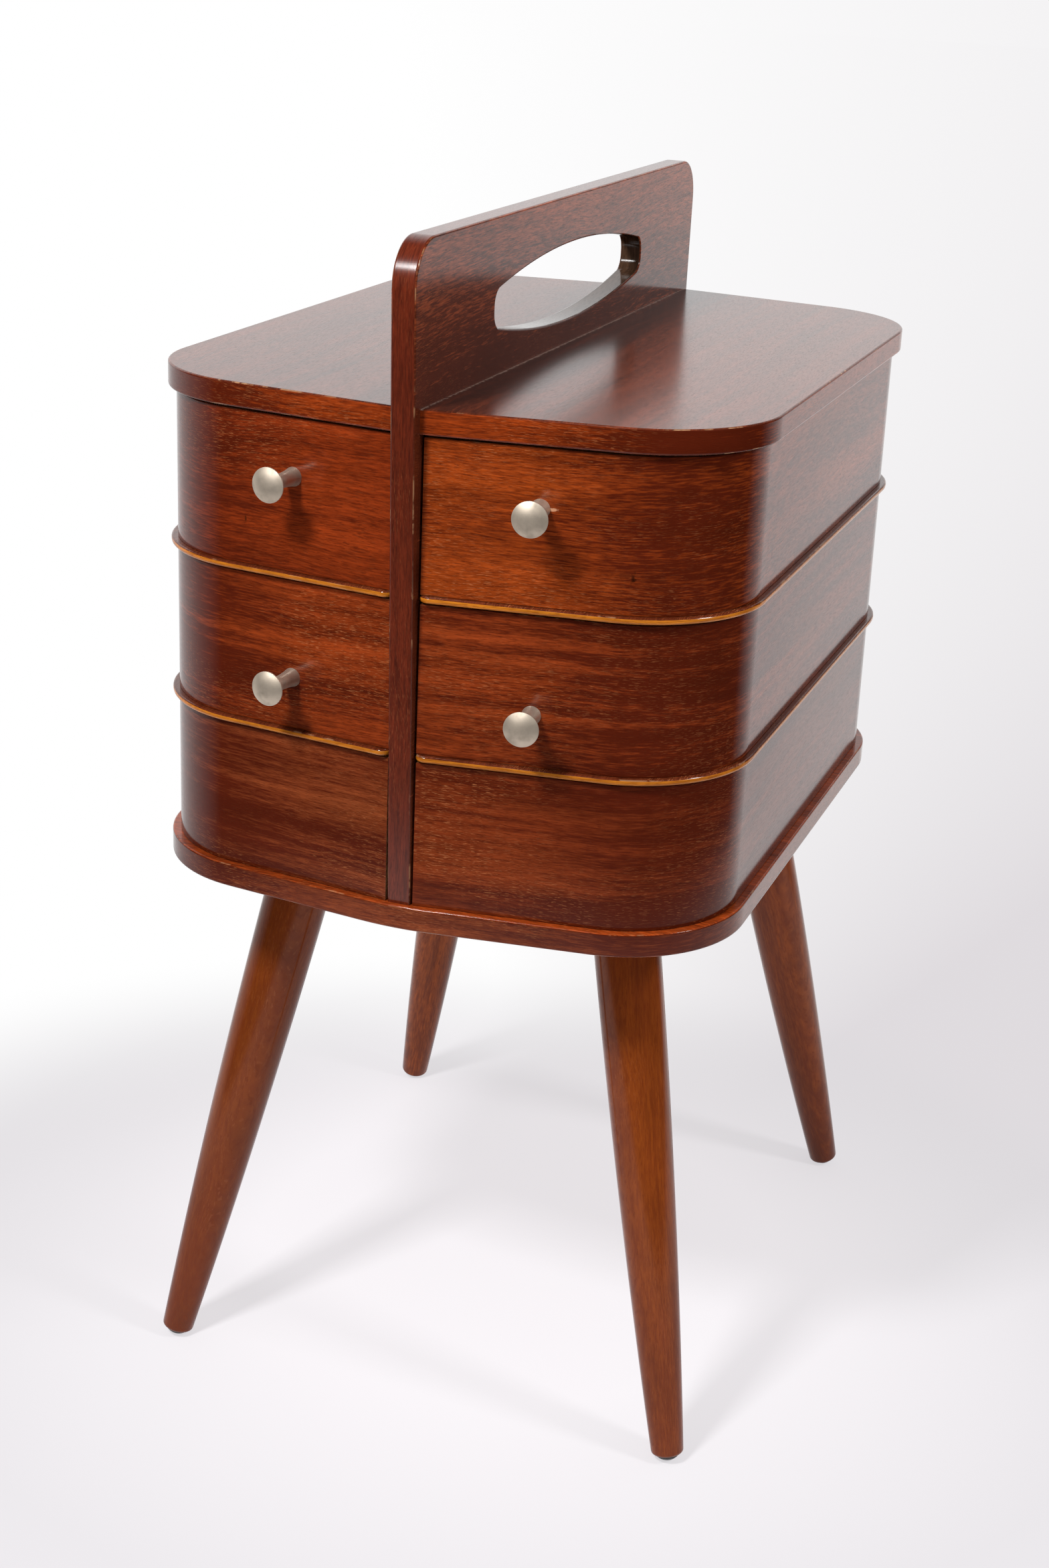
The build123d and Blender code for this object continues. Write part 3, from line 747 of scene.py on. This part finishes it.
# Inner boards and pivot blocks: flat boards close the trays beside the panel, and a solid
# post in each tray's rear inner corner is bored for the rod. Plain lacquered beech.
inner_beech = veneer(
    "Inner board beech", (0.26, 0.12, 0.05), (0.56, 0.33, 0.17), shift=(0.1, 0.6, 0.2),
    bands=0.3, glints=0.15,
)
post_stain = veneer(
    "Pivot block stain", veneer_dark, (0.32, 0.055, 0.01), ACROSS_X, (0.4, 0.1, 0.3), bands=0.3
)
for tray in leaf_and_shade_tones:
    tier, side = tray.split("_")
    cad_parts[f"{tier}_tray_inner_wall_{side}"].material_slots[0].material = inner_beech
    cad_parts[f"{tier}_pivot_block_{side}"].material_slots[0].material = post_stain

# Tray floors: thin plywood under the four swinging trays, cut larger than the walls so that
# its rounded edge stands out as a golden bead. The rim round the wall is stained.
floor_overhang = 0.0033
floor_inner_x = 0.0066
floor_front_radius = 0.005
floor_swing_radius = 0.0193
floor_arris = 0.0011
floor_edge = veneer(
    "Floor bead ply", (0.2, 0.05, 0.004), (0.52, 0.17, 0.012), shift=(0.2, 0.1, 0.4), bands=0.2,
    stripes=0.2, glints=0.1,
)
floor_stain = veneer(
    "Floor rim stain", (0.05, 0.008, 0.003), (0.14, 0.028, 0.009), ACROSS_X, bands=0.3
)
for tier in ("middle", "upper"):
    for side, sign in (("right", 1), ("left", -1)):
        low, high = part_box(f"{tier}_tray_floor_{side}")
        corners = side_corners(
            sign, low[2], floor_inner_x, tray_half_width + floor_overhang,
            tray_half_depth + floor_overhang / end_cosine,
        )
        outer_radius = tray_corner_radius + floor_overhang
        radii = (floor_front_radius, outer_radius, outer_radius, floor_swing_radius)
        bm = bmesh.new()
        outline = rounded_face(bm, corners, radii, UP * sign)
        thicken(bm, [outline], UP * (high[2] - low[2]))
        soften(bm, rim_edges(bm), floor_arris)
        for face in bm.faces:
            face.material_index = int(face.normal.z > 0.3 or face.normal.z < -0.95)
        tray_bottom = max(bm.faces, key=lambda face: face.normal.z * face.calc_area())
        rim_width = floor_overhang + wall_thickness / 2
        bmesh.ops.inset_region(bm, faces=[tray_bottom], thickness=rim_width)
        tray_bottom.material_index = 2
        tray_floor = new_piece(
            f"beaded_floor_{tier}_{side}", bm, floor_edge, floor_stain, inside_ply
        )
        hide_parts(f"{tier}_tray_floor_{side}")
        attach(tray_floor, body_of(tier, side))

# Rods and washers: a steel rod on each side passes through the pivot blocks from the base to
# the lid, and thin steel washers carry the trays on it.
rod_steel = metal("Rod steel", (0.5, 0.48, 0.45), 0.3)
for side in ("left", "right"):
    for name in (f"pivot_rod_{side}", f"rod_washers_{side}"):
        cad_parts[name].material_slots[0].material = rod_steel

# Lids: one board on each side, butted and dowelled to the panel, with the grain of the top
# from front to back and a lipping round the bent edge. The arrises have lost some lacquer.
lid_side_overhang = 0.0044
lid_end_overhang = 0.0025
lid_arris = 0.001
joint_highlight_spread = (0.0017, 0.4, 0.003)
joint_highlight_colour = (0.3, 0.19, 0.15)
lid_edge_veneer = veneer(
    "Lid edge veneer", veneer_dark, (0.32, 0.046, 0.0055), shift=(0.5, 0.3, 0.2), wear=1.0
)
# Painted shade: the lipping is darker round the front bends, where the light falls away.
darken_by_ramps(lid_edge_veneer, 0.7, (0, 0.05, 0.12), (1, -0.12, -0.165))
for side, sign in (("right", 1), ("left", -1)):
    low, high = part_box(f"lid_{side}")
    corners = side_corners(
        sign, low[2], panel_face, tray_half_width + lid_side_overhang,
        tray_half_depth + lid_end_overhang / end_cosine,
    )
    lid_radius = tray_corner_radius + lid_end_overhang
    bm = bmesh.new()
    outline = rounded_face(bm, corners, (0, lid_radius, lid_radius, 0), UP * sign)
    thicken(bm, [outline], UP * (high[2] - low[2]))
    rims = [
        edge
        for edge in rim_edges(bm)
        if any(abs(vertex.co.x) > panel_face + 1e-5 for vertex in edge.verts)
    ]
    soften(bm, rims, lid_arris)
    lip_edges(bm)
    lid_top_veneer = veneer(
        f"Lid top veneer {side}", (0.045, 0.009, 0.004), (0.18, 0.034, 0.012), ACROSS_X,
        (0, 0.4 * sign, 0.3), bands=0.4, stripes=0.4, glints=0.2, wear=1.0, lacquer=0.2, depth=1.5,
    )
    # Painted shade: the top is darker beside the panel, where the panel shades it.
    darken_by_ramps(lid_top_veneer, 0.35, (0, 0.08, 0.01))
    # A painted highlight: a pale line along the joint with the panel, for the light on the lacquer
    # pooled there.
    joint = (sign * panel_face, 0, high[2])
    mark(lid_top_veneer, joint, joint_highlight_spread, joint_highlight_colour)
    lid = new_piece(f"veneered_lid_{side}", bm, lid_top_veneer, lid_edge_veneer)
    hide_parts(f"lid_{side}")
    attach(lid, "carcass")
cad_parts["lid_dowels"].material_slots[0].material = inner_beech

# Knobs: turned in nickelled metal, a shallow dome on a waisted stem. Each is held by a screw
# from inside the tray, on the front wall beside the panel.
knob_head_radius = 0.0085
knob_waist_radius = 0.0036
knob_neck_radius = 0.004
knob_foot_radius = 0.0047
knob_reach = 0.024
knob_dome = 0.0024
knob_rim = 0.0006
knob_bell = 0.0042
knob_bell_sag = 0.0006
knob_waist_height = 0.010
knob_x = 0.062
knob_height = {"upper": 0.0465, "middle": 0.026}
satin_nickel = metal("Satin nickel", (0.66, 0.565, 0.46), 0.55, (300, 300, 300))
for tier, height in knob_height.items():
    for side, sign in (("right", 1), ("left", -1)):
        outward = Vector((sign * end_slope, -1, 0)).normalized()
        level = outward.cross(UP)
        wall_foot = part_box(f"{tier}_tray_wall_{side}")[0][2]
        place = Vector((sign * knob_x, knob_x * end_slope - tray_half_depth, wall_foot + height))
        axes = Matrix((level, outward.cross(level), outward)).transposed().to_4x4()
        seat = Matrix.Translation(place) @ axes
        head_back = knob_reach - knob_dome - knob_rim
        bm = bmesh.new()
        point = bm.verts.new((0, 0, 0))
        point = line_to(bm, point, (knob_foot_radius, 0, 0))
        waist = (knob_waist_radius, 0, knob_waist_height)
        point = arc_to(bm, point, waist, (knob_neck_radius, 0, head_back - knob_bell), 10)
        bell_radius = (knob_neck_radius + knob_head_radius) / 2 - knob_bell_sag
        bell = (bell_radius, 0, head_back - knob_bell / 2 + knob_bell_sag)
        point = arc_to(bm, point, bell, (knob_head_radius, 0, head_back), 6)
        point = line_to(bm, point, (knob_head_radius, 0, head_back + knob_rim))
        dome_radius = (knob_head_radius**2 + knob_dome**2) / (2 * knob_dome)
        half_turn = atan2(knob_head_radius, dome_radius - knob_dome) / 2
        through = (dome_radius * sin(half_turn), 0, knob_reach - dome_radius * (1 - cos(half_turn)))
        arc_to(bm, point, through, (0, 0, knob_reach), 8)
        turn_on_lathe(bm)
        bmesh.ops.transform(bm, matrix=seat, verts=bm.verts)
        knob = new_piece(f"turned_knob_{tier}_{side}", bm, satin_nickel)
        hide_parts(f"{tier}_knob_{side}")
        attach(knob, body_of(tier, side))
        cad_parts[f"{tier}_knob_screw_{side}"].material_slots[0].material = screw_steel

# Floor and light: a pale studio floor that runs out to white. A large soft light stands high
# in front, a little to the left, and another on the right. The lacquer mirrors a white
# backdrop behind the box and a dark studio elsewhere; the camera sees white, grey to the right.
backdrop_way = Vector((-0.568, 0.823, 0))
backdrop_fade = (-0.05, 0.62)
dark_floor_fade = (0.7, 0.95)
pool_centre = (0, -0.16, 0)
pool_edge = 0.34
white_edge = 0.58
floor_colour = (0.785, 0.765, 0.79, 1)
# The floor is painted lighter near the middle, under the box: a painted pool of light that thins
# the box's shadow.
painted_pool_colour = (0.92, 0.895, 0.922, 1)
painted_pool_fade = (0.16, 0.36)
dark_floor = (0.03, 0.03, 0.03, 1)
white_paper = (1, 1, 1, 1)
shaded_backdrop = (0.74, 0.71, 0.735, 1)
shaded_side = (-0.4, 0.3)
mirrored_side = (0.5, 0.8)
mirrored_level = (0.06, 1.15)
room_light = 0.42
softbox_aim_height = 0.42
floor_plane = bmesh.new()
bmesh.ops.create_grid(floor_plane, x_segments=1, y_segments=1, size=14)
studio_mesh = bpy.data.meshes.new("studio_floor")
floor_plane.to_mesh(studio_mesh)
floor_plane.free()
studio_floor = bpy.data.objects.new("studio_floor", studio_mesh)
bpy.context.scene.collection.objects.link(studio_floor)
pale = bpy.data.materials.new("Studio floor paper")
pale.use_nodes = True
tree = pale.node_tree
place = node(tree, "ShaderNodeTexCoord").outputs["Object"]
heading = node(tree, "ShaderNodeVectorMath", {0: place}, operation="NORMALIZE").outputs[0]
behind = node(tree, "ShaderNodeVectorMath", {0: heading, 1: backdrop_way}, operation="DOT_PRODUCT")
sideways = node(tree, "ShaderNodeSeparateXYZ", {0: heading}).outputs[0]
distance = node(tree, "ShaderNodeVectorMath", {0: place}, operation="LENGTH").outputs["Value"]
away = node(tree, "ShaderNodeVectorMath", {0: place, 1: pool_centre}, operation="DISTANCE")
whiteness = mapped(tree, away.outputs["Value"], pool_edge, white_edge)
whiteness.node.interpolation_type = "SMOOTHSTEP"
ray = node(tree, "ShaderNodeLightPath")
gloom = mapped(tree, behind.outputs["Value"], *backdrop_fade, 1, 0)
gloom = maths(tree, "MULTIPLY", gloom, mapped(tree, distance, *dark_floor_fade))
gloom = maths(tree, "MULTIPLY", gloom, ray.outputs["Is Glossy Ray"])
surface = tree.nodes["Principled BSDF"]
# The paper colour includes the painted pool of light under the box.
paper = blended(tree, mapped(tree, distance, *painted_pool_fade), painted_pool_colour, floor_colour)
tree.links.new(blended(tree, gloom, paper, dark_floor), surface.inputs["Base Color"])
surface.inputs["Roughness"].default_value = 0.9
surface.inputs["Specular IOR Level"].default_value = 0.0
falloff = mapped(tree, sideways, *shaded_side)
falloff = maths(tree, "MULTIPLY", falloff, ray.outputs["Is Camera Ray"])
far_colour = blended(tree, falloff, white_paper, shaded_backdrop)
glow = node(
    tree,
    "ShaderNodeEmission",
    {"Color": blended(tree, whiteness, paper, far_colour), "Strength": 1.0},
)
seen = maths(tree, "MAXIMUM", ray.outputs["Is Camera Ray"], ray.outputs["Is Glossy Ray"])
# Painted light: near the box the floor glows at 0.7 of its colour for the camera and in
# reflections, which fills in the box's shadow; it glows fully where it runs out to white.
glowing = mapped(tree, whiteness, 0, 1, 0.7, 1.0)
glowing = maths(tree, "MULTIPLY", glowing, maths(tree, "SUBTRACT", 1.0, gloom))
glowing = maths(tree, "MULTIPLY", glowing, seen)
mixed = node(tree, "ShaderNodeMixShader", {0: glowing, 1: surface.outputs[0], 2: glow.outputs[0]})
tree.links.new(mixed.outputs[0], tree.nodes["Material Output"].inputs[0])
studio_mesh.materials.append(pale)

room = bpy.data.worlds.new("Studio room")
room.use_nodes = True
bpy.context.scene.world = room
tree = room.node_tree
heading = node(tree, "ShaderNodeTexCoord").outputs["Generated"]
behind = node(tree, "ShaderNodeVectorMath", {0: heading, 1: backdrop_way}, operation="DOT_PRODUCT")
ray = node(tree, "ShaderNodeLightPath")
seen = maths(tree, "MAXIMUM", ray.outputs["Is Glossy Ray"], ray.outputs["Is Transmission Ray"])
mirrored = mapped(tree, behind.outputs["Value"], *mirrored_side, *mirrored_level)
room_level = mapped(tree, seen, 0, 1, room_light, mirrored)
room_level = maths(tree, "MAXIMUM", room_level, ray.outputs["Is Camera Ray"])
tree.links.new(room_level, tree.nodes["Background"].inputs["Strength"])
sideways = node(tree, "ShaderNodeSeparateXYZ", {0: heading}).outputs[0]
falloff = mapped(tree, sideways, *shaded_side)
falloff = maths(tree, "MULTIPLY", falloff, ray.outputs["Is Camera Ray"])
backdrop = blended(tree, falloff, white_paper, shaded_backdrop)
tree.links.new(backdrop, tree.nodes["Background"].inputs["Color"])


def soft_light(name, azimuth, elevation, distance, size, level):
    """A square softbox aimed at the box. level is what it adds to a white surface facing it,
    and azimuth is measured from the front towards the right."""
    lamp = bpy.data.lights.new(name, "AREA")
    lamp.shape = "SQUARE"
    lamp.size = size
    lamp.energy = level * pi * pi * distance**2
    holder = bpy.data.objects.new(name, lamp)
    bpy.context.scene.collection.objects.link(holder)
    towards = Vector((
        sin(azimuth) * cos(elevation),
        -cos(azimuth) * cos(elevation),
        sin(elevation),
    ))
    holder.location = UP * softbox_aim_height + towards * distance
    holder.rotation_euler = towards.to_track_quat("Z", "Y").to_euler()


soft_light("Front softbox", radians(-17), radians(44), 1.6, 0.24, 1.0)
soft_light("Right softbox", radians(81), radians(33), 1.9, 0.3, 0.42)

# Camera: stands to the right of the front, a little above the box, and is held slightly
# tilted, as in the photograph.
camera_azimuth = radians(19.597)
camera_elevation = radians(20.594)
camera_roll = radians(2.4775)
camera_distance = 1.3473
aim_sideways = -0.00867
aim_height = 0.30197
towards = Vector((
    sin(camera_azimuth) * cos(camera_elevation),
    -cos(camera_azimuth) * cos(camera_elevation),
    sin(camera_elevation),
))
stance = towards.to_track_quat("Z", "Y") @ Quaternion((0, 0, 1), camera_roll)
lens = bpy.data.cameras.new("Camera")
lens.sensor_fit = "VERTICAL"
lens.sensor_height = 36
lens.lens = 54.68
camera = bpy.data.objects.new("Camera", lens)
bpy.context.scene.collection.objects.link(camera)
aim = Vector((0, 0, aim_height)) + stance @ Vector((aim_sideways, 0, 0))
camera.location = aim + towards * camera_distance
camera.rotation_euler = stance.to_euler()
bpy.context.scene.camera = camera
bpy.context.scene.view_settings.view_transform = "Standard"
